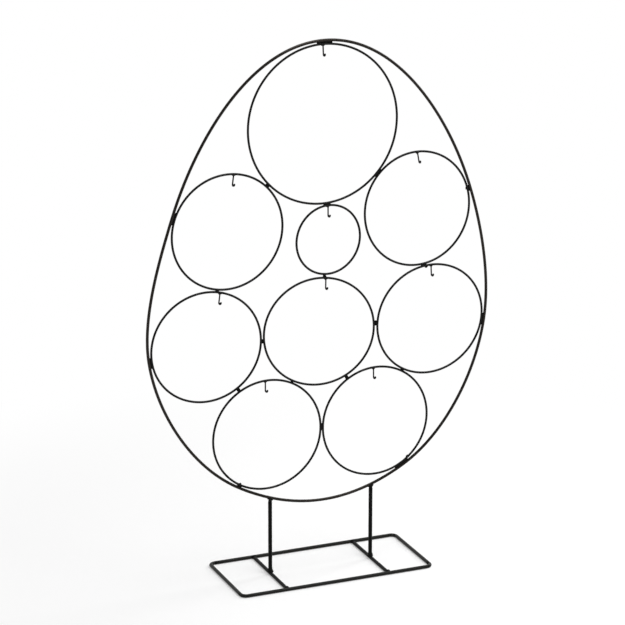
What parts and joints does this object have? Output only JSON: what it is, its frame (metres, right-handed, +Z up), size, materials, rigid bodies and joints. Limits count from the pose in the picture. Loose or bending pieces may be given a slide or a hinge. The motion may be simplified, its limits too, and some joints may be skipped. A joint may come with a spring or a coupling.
{
  "type": "egg-shaped wire display rack",
  "caption": "Free-standing welded wire rack in an egg outline, with round rings inside it, each with a small J hook to hang a decorated egg, on a flat rectangular base.",
  "frame": {"origin": "centre of the base's footprint, on the surface that the rack stands on", "axes": "+Z up, +X along the width of the hoop and of the base, -Y towards the viewer, on the side that the hooks open to"},
  "size_m": [0.5357, 0.1394, 0.7998],
  "materials": {
    "hoop_rod": "black powder coat, satin",
    "ring_wire": "black powder coat, satin",
    "hook_wire": "black powder coat, satin",
    "weld_bead": "black powder coat over weld, slightly uneven",
    "upright_rod": "black powder coat, satin",
    "base_rod": "black powder coat, satin"
  },
  "bodies": {
    "root": {"egg_hoop": "hoop_rod", "ring_top": "ring_wire", "ring_upper_left": "ring_wire", "ring_upper_right": "ring_wire", "ring_small_centre": "ring_wire", "ring_middle_left": "ring_wire", "ring_middle_centre": "ring_wire", "ring_middle_right": "ring_wire", "ring_bottom_left": "ring_wire", "ring_bottom_right": "ring_wire", "hook_top": "hook_wire", "hook_upper_left": "hook_wire", "hook_upper_right": "hook_wire", "hook_small_centre": "hook_wire", "hook_middle_left": "hook_wire", "hook_middle_centre": "hook_wire", "hook_middle_right": "hook_wire", "hook_bottom_left": "hook_wire", "hook_bottom_right": "hook_wire", "weld_top_hoop": "weld_bead", "weld_upper_left_hoop": "weld_bead", "weld_upper_right_hoop": "weld_bead", "weld_middle_left_hoop": "weld_bead", "weld_middle_right_hoop": "weld_bead", "weld_bottom_left_hoop": "weld_bead", "weld_bottom_right_hoop": "weld_bead", "weld_top_upper_left": "weld_bead", "weld_top_upper_right": "weld_bead", "weld_top_small_centre": "weld_bead", "weld_small_centre_middle_centre": "weld_bead", "weld_upper_left_middle_left": "weld_bead", "weld_upper_right_middle_right": "weld_bead", "weld_middle_left_middle_centre": "weld_bead", "weld_middle_centre_middle_right": "weld_bead", "weld_middle_left_bottom_left": "weld_bead", "weld_middle_centre_bottom_left": "weld_bead", "weld_middle_centre_bottom_right": "weld_bead", "weld_middle_right_bottom_right": "weld_bead", "weld_bottom_left_bottom_right": "weld_bead", "upright_left": "upright_rod", "upright_right": "upright_rod", "base_loop": "base_rod", "crossbar_left": "base_rod", "crossbar_right": "base_rod"}
  },
  "joints": []
}
